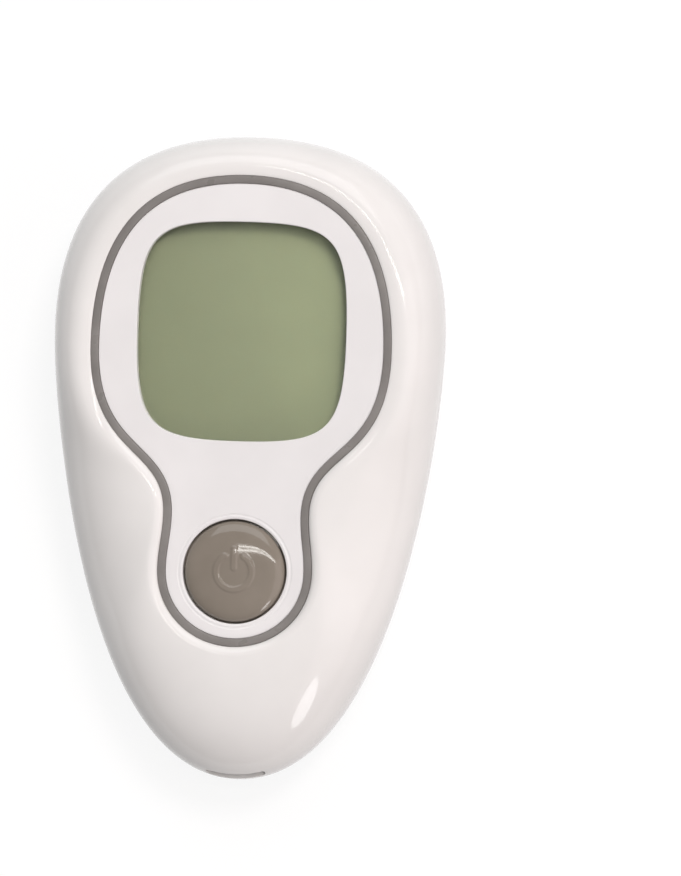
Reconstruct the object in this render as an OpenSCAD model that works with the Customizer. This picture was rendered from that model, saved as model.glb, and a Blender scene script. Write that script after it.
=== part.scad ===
// Blood glucose meter, lying on its back: +Z out of the face, +Y to the wide end, X across.
// The origin is on the flat of the back, below the middle of the case.

/* [Case] */
// Length of the case, wide end to strip end
case_l = 86; // [84:0.4:92]
// Width of the case across its widest line
case_w = 52.6; // [52:0.2:58]
// Thickness of the case, flat of the back to crest of the front
case_h = 18.8; // [18.4:0.4:21.6]
// Distance of the widest line from the middle of the length
wide_y = 16.6; // [14:0.2:19]
// Wall of the case halves
wall = 1.8; // [1.5:0.1:2]
// Distance from the edge of the case to the flat of the back
back_round = 8; // [6:0.5:9]
// Height of the tongue that locates the front half in the back half
tongue_h = 1; // [0.6:0.1:1.4]

/* [Face] */
// Depth of the face panel below the crest of the case
face_drop = 0.8; // [0.7:0.1:1.2]
// Distance from the wide end of the case to the trim ring
face_margin = 5.35; // [4.8:0.05:6]
// Width of the face beside the window, panel and trim ring
head_border = 6.15; // [5.8:0.05:6.6]
// Distance from the top of the keyhole to its widest line
head_drop = 23.05; // [21:0.25:25]
// Distance from the middle of the button up to the narrowest line of the keyhole's neck
neck_rise = 7.6; // [7:0.1:8.2]
// Width of the neck of the keyhole
neck_w = 19.5; // [18.6:0.1:20.2]
// Width of the face beside the button, panel and trim ring
end_border = 3.37; // [3:0.01:3.8]
// Width of the face below the button, panel and trim ring
end_below = 3.02; // [2.8:0.01:3.6]
// Height of the case's lip above the face panel where the case is narrow beside the keyhole
lip_proud = 0.3; // [0.2:0.05:0.4]
// Width of that lip, which rolls down to the trim ring
lip_w = 1.2; // [1:0.05:1.4]
// Height of the lip's foot beside the trim ring above the face panel
lip_foot = 0.12; // [0.04:0.02:0.16]
// Wall between the keyhole and the hollow of the case
lip_wall = 0.9; // [0.7:0.05:1.1]
// Width of the case beside the keyhole from which its lip begins to rise
swell_from = 6.5; // [6:0.5:8]
// Width of the case beside the keyhole at which its lip has risen to the crest
swell_full = 11.5; // [10:0.5:14]
// Width of the trim ring
ring_w = 1.05; // [0.8:0.05:1.3]
// Height of the trim ring above the face panel
ring_proud = 0.2; // [0.05:0.05:0.4]
// Thickness of the face panel
panel_t = 1.4; // [1:0.1:1.6]
// Width of the ledge under the edge of the panel
ledge_w = 1; // [0.8:0.05:1.1]
// Thickness of the ledge
ledge_t = 1.2; // [0.9:0.1:1.4]

/* [Display] */
// Width of the window in the panel
window_w = 28.1; // [26:0.1:28.6]
// Length of the window in the panel
window_l = 29.2; // [28:0.1:30]
// Distance from the top of the keyhole to the window
window_drop = 6.2; // [5.8:0.1:6.6]
// Thickness of the lens
lens_t = 1; // [0.6:0.1:1.1]
// Lap of the lens on the panel around the window
lens_lap = 0.9; // [0.6:0.05:1]
// Thickness of the foam gasket between lens and glass
gasket_t = 0.5; // [0.3:0.05:0.6]
// Lap of the display glass beside the window
glass_lap = 1.15; // [0.9:0.05:1.2]
// Thickness of each glass
glass_t = 0.7; // [0.5:0.05:0.9]
// Thickness of the front polariser and of the rear reflector
film_t = 0.25; // [0.15:0.05:0.3]
// Bare end of the front glass that carries its contacts
contact_l = 2; // [1.8:0.1:2.2]
// Wall of the display holder
holder_wall = 1; // [0.8:0.05:1]

/* [Button] */
// Diameter of the button
button_d = 13.4; // [12:0.1:13.6]
// Distance from the window to the middle of the button
button_drop = 17.35; // [17:0.05:18.5]
// Gap around the button
button_gap = 0.28; // [0.15:0.01:0.35]
// Height of the button's edge above the panel
button_proud = 0.3; // [0.1:0.05:0.6]
// Rise of the button's dome from its edge to its middle
button_dome = 0.75; // [0.4:0.05:1]
// Travel of the button
button_travel = 0.4; // [0.25:0.05:0.5]
// Width of the flange that keeps the button in
flange_w = 0.55; // [0.45:0.05:0.65]
// Thickness of that flange
flange_t = 0.8; // [0.6:0.1:1]
// Outer diameter of the raised mark on the button
mark_d = 5.4; // [4.5:0.1:6.5]
// Width of the mark's lines
mark_line = 0.65; // [0.5:0.05:0.8]
// Height of the mark
mark_t = 0.15; // [0.1:0.05:0.3]
// Side of the tact switch
switch_w = 6; // [5.6:0.1:6.2]
// Height of the tact switch's housing and cover
switch_h = 3.5; // [3.3:0.1:3.8]
// Diameter of the switch's plunger
plunger_d = 3.5; // [3:0.1:3.6]
// Length of the stem under the button that meets the plunger
stem_l = 0.7; // [0.4:0.05:1.2]
// Diameter of that stem
stem_d = 4; // [3:0.1:5]

/* [Board] */
// Depth of the board's upper face below the face panel
board_depth = 8; // [7.4:0.1:8.4]
// Height of the board's upper face above the line where the case halves meet
board_rise = 1; // [0.8:0.05:1.1]
// Thickness of the board
board_t = 1; // [0.8:0.1:1.2]
// Gap between the case's edge and the board
board_inset = 4.4; // [4:0.1:5]
// Side of the controller chip
controller_w = 10; // [8:1:12]
// Height of the chips' bodies
chip_h = 1.4; // [0.8:0.1:1.6]
// Width of the memory chip
memory_w = 3.9; // [3:0.1:5]
// Length of the memory chip
memory_l = 4.9; // [4:0.1:6]
// Side of the amplifier chip
amplifier_w = 3; // [2:0.1:4]
// Diameter of the clock crystal
crystal_d = 2; // [1.5:0.1:2.5]
// Length of the clock crystal
crystal_l = 6; // [4:0.1:7]
// Length of the small capacitors and resistors
small_l = 1.6; // [1:0.1:2]
// Spacing of the small capacitors and resistors
small_step = 2.4; // [2.2:0.1:2.6]
// Diameter of the buzzer
buzzer_d = 9; // [8:0.5:11]
// Height of the buzzer
buzzer_h = 3; // [2.5:0.1:3.4]

/* [Battery] */
// Diameter of the coin cell
cell_d = 20; // [19.6:0.1:20.2]
// Thickness of the coin cell
cell_t = 3.2; // [2.9:0.1:3.3]
// Distance of the coin cell from the middle of the length
cell_y = 8; // [7:0.25:9]
// Wall of the battery holder
cell_wall = 2.2; // [2:0.1:2.3]
// Width of the battery contacts
spring_w = 5; // [4:0.1:5.4]
// Distance of the negative contact's leg from the middle of the cell
spring_out = 6; // [5:0.1:7]
// Width of the battery door
door_w = 24; // [23:0.5:25]
// Length of the battery door
door_l = 27; // [26:0.5:28]
// Thickness of the battery door
door_t = 1.4; // [1.2:0.05:1.5]
// Depth of the door's face below the back
door_sunk = 0.25; // [0.15:0.05:0.3]
// Radius of the door's corners
door_corner = 4; // [3:0.5:5]

/* [Strip port] */
// Width of the slot for the test strip
port_w = 8; // [7.4:0.1:9]
// Height of the slot
port_h = 1.5; // [1.2:0.1:1.6]
// Length of the strip connector
socket_l = 8.5; // [8:0.1:9.5]
// Width of the strip connector
socket_w = 11; // [10.6:0.1:12]
// Height of the strip connector
socket_h = 2.7; // [2.6:0.05:2.8]
// Distance of the strip connector behind the case's wall
socket_set = 4.2; // [4:0.1:4.8]

/* [Screws] */
// Diameter of the case screws
screw_d = 2; // [1.8:0.1:2.2]
// Length of the case screws under the head
screw_l = 9.6; // [8.5:0.1:10]
// Diameter of the screws' heads
head_d = 3.6; // [3.3:0.1:3.7]
// Height of the screws' heads
head_t = 1.3; // [1:0.1:1.4]
// Depth of the screws' seat below the line where the case halves meet
seat_depth = 4.8; // [4.5:0.1:5.2]
// Distance of the lower case screws from the case's edge
screw_inset = 7; // [6.5:0.1:7.5]
// Distance of the board screws from the neck of the keyhole
board_screw_out = 3.9; // [3.4:0.1:4.4]
// Length of the board screws under the head
board_screw_l = 5; // [4:0.1:5.4]

/* [Clearances] */
// Gap between pieces that drop into each other
fit = 0.06; // [0.03:0.01:0.1]
// Gap between pieces that must stay clear
clear = 0.2; // [0.15:0.01:0.25]

/* [Hidden] */
$fn = 48;

// Heights
face_h = case_h - face_drop;
ledge_h = face_h - panel_t;
joint_h = face_h - board_depth - board_rise;
seat_h = joint_h - seat_depth;
lip_h = face_h + lip_proud;
board_top = joint_h + board_rise;
board_low = board_top - board_t;
glass_top = ledge_h - lens_t - gasket_t;
rear_low = glass_top - 2 * film_t - 2 * glass_t;

// Widths and lengths that follow the window and the button
glass_w = window_w + 2 * glass_lap;
glass_l = window_l + 2 * glass_lap + 2.3;
head_w = window_w + 2 * head_border;
end_r = button_d / 2 + button_gap + end_border;
end_drop = button_d / 2 + button_gap + end_below;

// Places along Y, counted down from the wide end
head_top = case_l / 2 - face_margin;
head_y = head_top - head_drop;
window_top = head_top - window_drop;
window_low = window_top - window_l;
window_y = (window_top + window_low) / 2;
button_y = window_low - button_drop;
neck_y = button_y + neck_rise;
// every ray from this point of the Y axis crosses the case's edge and the keyhole once
eye_y = neck_y + 0.83 * end_r;
port_z = board_top + 1.3;
socket_front = case_l / 2 - wall - socket_set;

// Shapes of the curves: lengths of their handles as shares of the stretch that they round
case_full = [0.76, 0.54, 0.2, 0.8];
head_full = [0.655, 0.66];
neck_full = [0.68, 0.405, 0.39, 0.4];
end_full = 0.56;
window_full = [0.86, 0.9];
dome_power = 2.2;
// angle of the front's dome where it meets the lip, on the widest parts of the case
dome_cut = 80;

// ---- curves, right half from the top down, mirrored to the left ----
function bez(q, t) = pow(1 - t, 3) * q[0] + 3 * pow(1 - t, 2) * t * q[1]
  + 3 * (1 - t) * t * t * q[2] + t * t * t * q[3];
function bez_dir(q, t) = pow(1 - t, 2) * (q[1] - q[0]) + 2 * (1 - t) * t * (q[2] - q[1])
  + t * t * (q[3] - q[2]);
function beside(q, t, d) = let (v = bez_dir(q, t)) bez(q, t) + d * [-v.y, v.x] / norm(v);
// quarter curves: flat at the top or the bottom, upright at the side
function down_out(top, x, y, full) =
  [[0, top], [full[0] * x, top], [x, y + full[1] * (top - y)], [x, y]];
function down_in(x, y, low, full) =
  [[x, y], [x, y - full[0] * (y - low)], [full[1] * x, low], [0, low]];
function whole(side) = concat(side, [for (i = [len(side) - 2:-1:1]) [-side[i].x, side[i].y]]);

key_curve = [
  down_out(head_top, head_w / 2, head_y, head_full),
  [[head_w / 2, head_y], [head_w / 2, head_y - neck_full[0] * (head_y - neck_y)],
    [neck_w / 2, neck_y + neck_full[1] * (head_y - neck_y)], [neck_w / 2, neck_y]],
  [[neck_w / 2, neck_y], [neck_w / 2, neck_y - neck_full[2] * (neck_y - button_y)],
    [end_r, button_y + neck_full[3] * (neck_y - button_y)], [end_r, button_y]],
  down_in(end_r, button_y, button_y - end_drop, [end_full, end_full])];
key_steps = [9, 12, 4, 8];
key_places = concat([for (s = [0:3]) for (i = [0:key_steps[s] - 1]) [s, i / key_steps[s]]],
  [[3, 1]]);
function key_side(d) = [for (k = key_places) beside(key_curve[k[0]], k[1], d)];

case_curve = [
  down_out(case_l / 2, case_w / 2, wide_y, [case_full[0], case_full[1]]),
  down_in(case_w / 2, wide_y, -case_l / 2, [case_full[2], case_full[3]])];
function case_point(t, d) = t < 1 ? beside(case_curve[0], t, d) : beside(case_curve[1], t - 1, d);
function bearing(p) = atan2(p.x, p.y - eye_y);
function case_place(b, low, high, turns) = let (mid = (low + high) / 2)
  turns == 0 ? mid : bearing(case_point(mid, 0)) < b
    ? case_place(b, mid, high, turns - 1) : case_place(b, low, mid, turns - 1);
last = len(key_places) - 1;
key_edge = key_side(0);
case_places = [for (i = [0:last])
  i == 0 ? 0 : i == last ? 2 : case_place(bearing(key_edge[i]), 0, 2, 30)];
function case_side(d) = [for (t = case_places) case_point(t, d)];
// half width of the case at a height y below the widest line or above it
function case_x_at(y, low, high, turns) = let (mid = (low + high) / 2)
  turns == 0 ? case_point(mid, 0).x : case_point(mid, 0).y > y
    ? case_x_at(y, mid, high, turns - 1) : case_x_at(y, low, mid, turns - 1);
function case_x(y) = case_x_at(y, 0, 2, 30);

window_curve = [
  down_out(window_top, window_w / 2, window_y, window_full),
  down_in(window_w / 2, window_y, window_low, [window_full[1], window_full[0]])];
window_steps = 10;
function window_side(d) = concat(
  [for (s = [0:1]) for (i = [0:window_steps - 1]) beside(window_curve[s], i / window_steps, d)],
  [beside(window_curve[1], 1, d)]);

// ---- domed surfaces between the case's edge and the keyhole ----
edge = case_side(0);
// the lip rises beside the neck and the button, where the case is wide
function ease(x) = let (c = min(max(x, 0), 1)) c * c * (3 - 2 * c);
swell = [for (i = [0:last])
  ease((norm(edge[i] - key_edge[i]) - swell_from) / (swell_full - swell_from))];
crest = [for (s = swell) lip_h + (case_h - lip_h) * s];
ceiling = [for (s = swell) let (low = ledge_h - ledge_t) low + (case_h - wall - low) * s];
// the front's dome is cut off at an angle under 90 where it still slopes as it meets the lip
cut = [for (s = swell) 90 - (90 - dome_cut) * s];
function inward(u, top) = (1 - pow(cos(u * top), 2 / dome_power))
  / (1 - (top == 90 ? 0 : pow(cos(top), 2 / dome_power)));
function upward(u, top) = pow(sin(u * top) / sin(top), 2 / dome_power);
outer_part = [0.1, 0.2, 0.3, 0.4, 0.5, 0.62, 0.74, 0.87, 1];
inner_part = [1, 0.85, 0.68, 0.45, 0.22, 0];
function dome_loop(from, to, high, u) = [for (i = [0:last])
  let (p = from[i] + (to[i] - from[i]) * (u == 1 ? 1 : inward(u, cut[i])))
  [p.x, p.y, joint_h + (high[i] - joint_h) * upward(u, cut[i])]];
lip_side = key_side(fit + lip_w);
foot_side = key_side(fit);
function lip_loop(a) = [for (i = [0:last])
  let (p = lip_side[i] + (foot_side[i] - lip_side[i]) * sin(a))
  [p.x, p.y, crest[i] - (crest[i] - face_h - lip_foot) * (1 - cos(a))]];
function flat_loop(side, z) = [for (p = side) [p.x, p.y, z]];
function whole_loop(side) = concat(side,
  [for (i = [len(side) - 2:-1:1]) [-side[i].x, side[i].y, side[i].z]]);

// skin over a list of loops; ends are capped, or joined to each other when ring is true
module skin(sides, ring = false) {
  loops = [for (s = sides) whole_loop(s)];
  n = len(loops[0]);
  m = len(loops);
  walls = [for (j = [0:(ring ? m - 1 : m - 2)]) for (i = [0:n - 1])
    let (k = (i + 1) % n, a = j * n, b = ((j + 1) % m) * n)
    each [[a + i, b + k, b + i], [a + i, a + k, b + k]]];
  caps = ring ? [] : [[for (i = [n - 1:-1:0]) i], [for (i = [0:n - 1]) (m - 1) * n + i]];
  polyhedron([for (l = loops) each l], concat(walls, caps));
}

module plate(side, z, t) { translate([0, 0, z]) linear_extrude(t) polygon(whole(side)); }
module rounded(w, l, r) {
  for (x = [-1, 1]) for (y = [-1, 1])
    translate([x * (w / 2 - r), y * (l / 2 - r)]) circle(r);
  square([w - 2 * r, l], center = true);
  square([w, l - 2 * r], center = true);
}
module block(x, y, z, w, l, h) { translate([x - w / 2, y - l / 2, z]) cube([w, l, h]); }
module post(x, y, z, d, h) { translate([x, y, z]) cylinder(d = d, h = h); }
module both_sides() { children(); mirror([1, 0, 0]) children(); }

// ---- screws and their towers ----
tower_d = 5.4;
front_tower_d = 4.6;
// the upper pair stands beside the display holder, the lower pair beside the button
holder_w = glass_w + clear + 2 * holder_wall;
case_screw_at = [
  [holder_w / 2 + clear + front_tower_d / 2, window_y + 3.85],
  [case_x(button_y + 0.2) - screw_inset, button_y + 0.2]];
board_screw_y = neck_y;
board_screw_x = neck_w / 2 + board_screw_out;
board_screw_d = 1.6;
board_tower_d = 4;

// ---- case halves ----
module front_shell() {
  color("#f1eeea") difference() {
    union() {
      skin(concat(
        [flat_loop(edge, joint_h)],
        [for (u = outer_part) dome_loop(edge, lip_side, crest, u)],
        [for (a = [30, 60, 90]) lip_loop(a)],
        [flat_loop(foot_side, ledge_h),
          flat_loop(key_side(-ring_w - ledge_w), ledge_h),
          flat_loop(key_side(-ring_w - ledge_w), ledge_h - ledge_t)],
        [for (u = inner_part) dome_loop(case_side(-wall), key_side(lip_wall), ceiling, u)],
        [flat_loop(case_side(-wall), joint_h - tongue_h),
          flat_loop(case_side(-wall / 2 - fit), joint_h - tongue_h),
          flat_loop(case_side(-wall / 2 - fit), joint_h)]), ring = true);
      both_sides() {
        for (p = case_screw_at)
          post(p.x, p.y, board_top, front_tower_d, ledge_h - board_top - 1);
        post(board_screw_x, board_screw_y, board_top, board_tower_d, ledge_h - board_top - 0.2);
      }
    }
    both_sides() {
      for (p = case_screw_at)
        post(p.x, p.y, board_top - 1, screw_d + fit, seat_h + screw_l - board_top + 1.4);
      post(board_screw_x, board_screw_y, board_top - 1, board_screw_d + fit, board_screw_l + 1.4);
    }
    block(0, -case_l / 2, port_z - port_h / 2, port_w, 8, port_h);
    block(0, -case_l / 2, port_z - port_h / 2 - 0.4, port_w + 0.8, 1.6, port_h + 0.8);
  }
}

flat_side = [for (p = edge)
  let (v = [0, eye_y] - p) p + v * back_round / norm(v)];
back_part = [for (i = [8:-1:1]) i / 9];
back_inner_part = [0.22, 0.39, 0.56, 0.72, 0.89];
function back_loop(from, z, u) = [for (i = [0:last])
  let (p = from[i] + (flat_side[i] - from[i]) * inward(u, 90))
  [p.x, p.y, joint_h - (joint_h - z) * upward(u, 90)]];
door_y = cell_y;
door_low = door_y - door_l / 2;
module door_outline(d) { translate([0, door_y]) rounded(door_w + 2 * d, door_l + 2 * d, door_corner + d); }
module back_shell() {
  color("#ebe7e3") difference() {
    union() {
      skin(concat(
        [flat_loop(flat_side, 0)],
        [for (u = back_part) back_loop(edge, 0, u)],
        [flat_loop(edge, joint_h),
          flat_loop(case_side(-wall / 2), joint_h),
          flat_loop(case_side(-wall / 2), joint_h - tongue_h - fit),
          flat_loop(case_side(-wall), joint_h - tongue_h - fit)],
        [for (u = back_inner_part) back_loop(case_side(-wall), wall, u)],
        [flat_loop(flat_side, wall)]));
      both_sides() for (p = case_screw_at)
        post(p.x, p.y, wall - 0.4, tower_d, board_top - fit - wall + 0.4);
    }
    both_sides() for (p = case_screw_at) {
      post(p.x, p.y, -1, head_d + 2 * clear + 0.2, seat_h + 1);
      post(p.x, p.y, 0, screw_d + 2 * clear, board_top + 1);
    }
    translate([0, 0, -1]) linear_extrude(wall + 2) door_outline(0.15);
    for (i = [-1:1]) translate([i * 2.4, buzzer_y, -1])
      linear_extrude(wall + 2) rounded(0.9, 6, 0.44);
  }
}

tongue_x = 7;
module battery_door() {
  floor_gap = 0.12;
  tongue_t = 0.8;
  low = wall + floor_gap;
  color("#e7e3df") difference() {
    union() {
      translate([0, 0, door_sunk]) linear_extrude(door_t) door_outline(0);
      both_sides() {
        block(tongue_x, door_low + 0.75, door_sunk + 0.4, 3, 1.5, low + tongue_t - door_sunk - 0.4);
        block(tongue_x, door_low - 0.05, low, 3, 3.1, tongue_t);
      }
    }
    both_sides() block(5, door_y + door_l / 2 - 3, door_sunk - 1, 0.8, 8, door_t + 3);
    for (i = [0:3])
      block(0, door_y + door_l / 2 - 2.4 - 1.2 * i, door_sunk - 1, 6.4, 0.6, 1.3);
  }
}

module case_screws() {
  color("#8d8f92") both_sides() for (p = case_screw_at) translate([p.x, p.y, seat_h])
    screw(screw_d, screw_l);
}
module board_screws() {
  color("#b9a66b") both_sides() translate([board_screw_x, board_screw_y, board_low])
    screw(board_screw_d, board_screw_l + board_t);
}
// head below, shank up, cross recess from below
module screw(d, l) {
  difference() {
    union() {
      cylinder(d = d, h = l);
      translate([0, 0, -head_t]) cylinder(d = head_d * (d + 1) / (screw_d + 1), h = head_t);
    }
    for (a = [0, 90]) rotate(a) block(0, 0, -head_t - 1, 0.5, 2, 1.7);
  }
}

// ---- face ----
module trim_ring() {
  color("#84817e") difference() {
    plate(key_side(0), ledge_h, panel_t + ring_proud);
    plate(key_side(-ring_w), ledge_h - 1, panel_t + ring_proud + 2);
  }
}
module face_panel() {
  color("#eeebe8") difference() {
    plate(key_side(-ring_w - fit), ledge_h, panel_t);
    plate(window_side(0), ledge_h - 1, panel_t + 2);
    post(0, button_y, ledge_h - 1, button_d + 2 * button_gap, panel_t + 2);
  }
}

// ---- display ----
module display_lens() { color("#dfe6e2", 0.3) plate(window_side(lens_lap), ledge_h - lens_t, lens_t); }
module display_gasket() {
  color("#3b3d40") difference() {
    plate(window_side(lens_lap), glass_top, gasket_t);
    plate(window_side(0.3), glass_top - 1, gasket_t + 2);
  }
}
module front_polariser() {
  color("#a3a88b") block(0, window_y, glass_top - film_t, glass_w - 0.6, glass_l - 2 * contact_l, film_t);
}
module front_glass() {
  color("#92977b", 0.6) block(0, window_y, glass_top - film_t - glass_t, glass_w, glass_l, glass_t);
}
module rear_glass() {
  color("#92977b", 0.6)
    block(0, window_y, rear_low + film_t, glass_w, glass_l - 2 * contact_l, glass_t);
}
module rear_reflector() {
  color("#92977b") block(0, window_y, rear_low, glass_w - 0.6, glass_l - 2 * contact_l - 0.6, film_t);
}
module display_holder() {
  rim = glass_top - film_t - 0.1;
  shelf_w = 1.6;
  outer_l = glass_l + clear + 2 * holder_wall;
  color("#d8d8d4") translate([0, window_y, 0]) difference() {
    translate([0, 0, board_top]) linear_extrude(rim - board_top) rounded(holder_w, outer_l, 2.4);
    block(0, 0, rear_low, glass_w + clear, glass_l + clear, 9);
    block(0, 0, board_top - 1, glass_w - 2 * shelf_w, glass_l + clear, 9);
  }
}
module zebra_strips() {
  color("#5d6672") for (s = [-1, 1])
    block(0, window_y + s * (glass_l / 2 - contact_l / 2), board_top,
      glass_w - 4.4, contact_l - 2 * clear, glass_top - film_t - glass_t - board_top);
}

// ---- button and its switch ----
flange_top = ledge_h - fit;
plunger_top = flange_top - flange_t - stem_l;
// profile of the cap: radius and height, the dome as an arc through its edge and its middle
cap_edge = face_h + button_proud;
cap_round = 0.35;
cap_r = button_d / 2;
dome_r = (pow(cap_r - cap_round, 2) + pow(button_dome, 2)) / (2 * button_dome);
cap_profile = concat(
  [[0, flange_top - flange_t], [cap_r + button_gap + flange_w, flange_top - flange_t],
    [cap_r + button_gap + flange_w, flange_top], [cap_r, flange_top],
    [cap_r, cap_edge - cap_round]],
  [for (i = [6:-1:1]) let (x = (cap_r - cap_round) * i / 6)
    [x, cap_edge + button_dome - dome_r + sqrt(dome_r * dome_r - x * x)]],
  [[0, cap_edge + button_dome]]);
module button_cap() {
  color("#877e72") {
    translate([0, button_y, 0]) union() {
      rotate_extrude($fn = 96) polygon(cap_profile);
      post(0, 0, plunger_top + fit / 3, stem_d, stem_l + 0.2);
      translate([0, 0, cap_edge]) power_mark(button_dome + mark_t);
    }
  }
}
// open ring with an upright bar, the common sign for on and off
module power_mark(h) {
  opening = 1.3;
  difference() {
    cylinder(d = mark_d, h = h);
    translate([0, 0, -1]) cylinder(d = mark_d - 2 * mark_line, h = h + 2);
    block(0, mark_d / 2, -1, 2 * opening, mark_d / 2, h + 2);
  }
  block(0, mark_d / 2 - 0.6, 0, mark_line, mark_d / 2, h);
}

well_d = 4.8;
well_low = 0.8;
cover_t = 0.4;
module switch_housing() {
  lead = 0.5;
  color("#2d2e30") translate([0, button_y, board_top]) {
    difference() {
      block(0, 0, 0, switch_w, switch_w, switch_h - cover_t);
      post(0, 0, well_low, well_d, switch_h);
    }
    for (x = [-1, 1]) for (y = [-1, 1])
      block(x * switch_w / 3, y * switch_w / 3, -board_t - 0.4, lead, lead, board_t + 0.8);
  }
}
module switch_cover() {
  color("#c9cbcd") translate([0, button_y, board_top + switch_h - cover_t]) difference() {
    block(0, 0, 0, switch_w, switch_w, cover_t);
    post(0, 0, -1, plunger_d + 2 * fit, cover_t + 2);
  }
}
dome_t = 0.12;
dome_rise = button_travel + 0.1;
plunger_low = board_top + well_low + dome_rise + dome_t + 0.02;
module switch_plunger() {
  color("#1f2022") translate([0, button_y, 0]) {
    post(0, 0, plunger_low, plunger_d, plunger_top - plunger_low);
    post(0, 0, plunger_low, well_d - 0.4, board_top + switch_h - cover_t - fit - plunger_low);
  }
}
// thin metal cap of a sphere, crown up
module snap_dome() {
  foot_r = well_d / 2 - 0.1;
  ball_r = (foot_r * foot_r + dome_rise * dome_rise) / (2 * dome_rise);
  reach = asin(foot_r / ball_r);
  steps = 6;
  function arc(r) = [for (i = [0:steps]) r * [sin(reach * i / steps), cos(reach * i / steps)]];
  inner = arc(ball_r);
  outer = arc(ball_r + dome_t);
  color("#d9dadb") translate([0, button_y, board_top + well_low + dome_rise - ball_r + 0.01])
    rotate_extrude() polygon(concat(inner, [for (i = [steps:-1:0]) outer[i]]));
}

// ---- board and what is on it ----
module main_board() {
  end_y = socket_front - 3;
  color("#2f6b45") difference() {
    intersection() {
      plate(case_side(-board_inset), board_low, board_t);
      block(0, case_l - end_y, board_low - 1, 2 * case_w, 2 * case_l, board_t + 2);
    }
    both_sides() {
      for (p = case_screw_at) {
        post(p.x, p.y, board_low - 1, tower_d + 2 * clear, board_t + 2);
        block(p.x + case_w / 4, p.y, board_low - 1, case_w / 2, tower_d + 2 * clear, board_t + 2);
      }
      post(board_screw_x, board_screw_y, board_low - 1, board_screw_d + clear, board_t + 2);
    }
    for (x = [-1, 1]) for (y = [-1, 1])
      post(x * switch_w / 3, button_y + y * switch_w / 3, board_low - 1, 0.9, board_t + 2);
  }
}
// flat chip body with rows of gull-wing leads on two or four sides
module chip(w, l, h, leads, pitch, sides) {
  lead_w = pitch * 0.45;
  lead_l = 0.9;
  block(0, 0, 0.1, w, l, h);
  for (a = sides) rotate(a) for (i = [0:leads - 1])
    block(w / 2 + lead_l / 2 - 0.1, (i - (leads - 1) / 2) * pitch, 0, lead_l, lead_w, 0.35);
}
// the chips sit under the display, apart from the amplifier and its small parts by the switch
chip_x = controller_w / 2 + memory_w;
beside_switch = switch_w / 2 + amplifier_w + small_l;
module controller_chip() {
  leads = 10;
  color("#26272a") translate([-chip_x / 2, window_y + small_l, board_top])
    chip(controller_w, controller_w, chip_h, leads, controller_w / (leads + 2), [0, 90, 180, 270]);
}
module amplifier_chip() {
  color("#26272a") translate([beside_switch, button_y - switch_w / 2, board_top])
    chip(amplifier_w, amplifier_w, chip_h * 0.7, 4, amplifier_w / 4.6, [0, 180]);
}
module memory_chip() {
  color("#26272a") translate([chip_x, window_y - memory_l, board_top])
    chip(memory_w, memory_l, chip_h, 4, memory_l / 4, [0, 180]);
}
module clock_crystal() {
  color("#c3c6ca") translate([chip_x, window_y + small_l, board_top + crystal_d / 2])
    rotate([-90, 0, 0]) cylinder(d = crystal_d, h = crystal_l);
}
small_w = small_l / 2;
module ceramic_capacitors() {
  row_x = -chip_x / 2 - controller_w / 2 - small_l - small_w;
  color("#b89c74") {
    for (i = [-2:2]) block(row_x, window_y + i * small_step, board_top, small_l, small_w, small_w);
    for (i = [-1, 1])
      block(beside_switch + i * small_w, button_y + switch_w / 4, board_top, small_w, small_l, small_w);
  }
}
module chip_resistors() {
  row_y = window_y + small_l + controller_w / 2 + small_l + small_w;
  color("#1d1d1f") {
    for (i = [-3:2]) block(i * small_step, row_y, board_top, small_w, small_l, small_w / 2);
    for (i = [-1:1])
      block(-beside_switch, button_y + i * small_step, board_top, small_l, small_w, small_w / 2);
  }
}
buzzer_y = button_y - switch_w / 2 - buzzer_d;
module buzzer() {
  color("#3a3b3d") difference() {
    post(0, buzzer_y, board_low - buzzer_h, buzzer_d, buzzer_h);
    post(0, buzzer_y, board_low - buzzer_h - 1, 1.6, 1.8);
  }
}

// ---- strip port ----
socket_back = -socket_front + socket_l;
slot_h = 0.9;
module strip_connector() {
  color("#e9e6dc") difference() {
    block(0, -socket_front + socket_l / 2, board_top, socket_w, socket_l, socket_h);
    block(0, -socket_front + socket_l / 2 - 1.2, port_z - slot_h / 2, port_w - 0.6, socket_l, slot_h);
    for (x = contact_x)
      block(x, -socket_front + socket_l / 2 + 0.5, port_z, contact_w + 2 * clear, socket_l + 4,
        board_top + socket_h - port_z + 1);
  }
}
contact_x = [-2.4, -0.8, 0.8, 2.4];
contact_w = 0.7;
module strip_contacts() {
  t = 0.2;
  y0 = -socket_front + 1.6;
  y1 = socket_back;
  z = board_top + socket_h;
  // leaf along the top, dipping to the strip near its free end, with a foot on the board
  leaf = [[y0, z - 0.3], [y0 + 1.2, port_z + 0.15], [y0 + 2.4, z - 0.3 - t], [y1 + 0.4, z - 0.3 - t],
    [y1 + 0.4, board_top], [y1 + 1.6, board_top], [y1 + 1.6, board_top + t],
    [y1 + 0.4 + t, board_top + t], [y1 + 0.4 + t, z - 0.3], [y0 + 2.3, z - 0.3],
    [y0 + 1.2, port_z + 0.15 + 1.6 * t], [y0 + 0.1, z - 0.3 + t]];
  color("#c9a24b") for (x = contact_x) translate([x - contact_w / 2, 0, 0])
    rotate([90, 0, 90]) linear_extrude(contact_w) polygon(leaf);
}

// ---- battery ----
cell_low = door_sunk + door_t + 0.85;
cell_top = cell_low + cell_t;
contact_t = 0.3;
web_t = 0.8;
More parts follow.
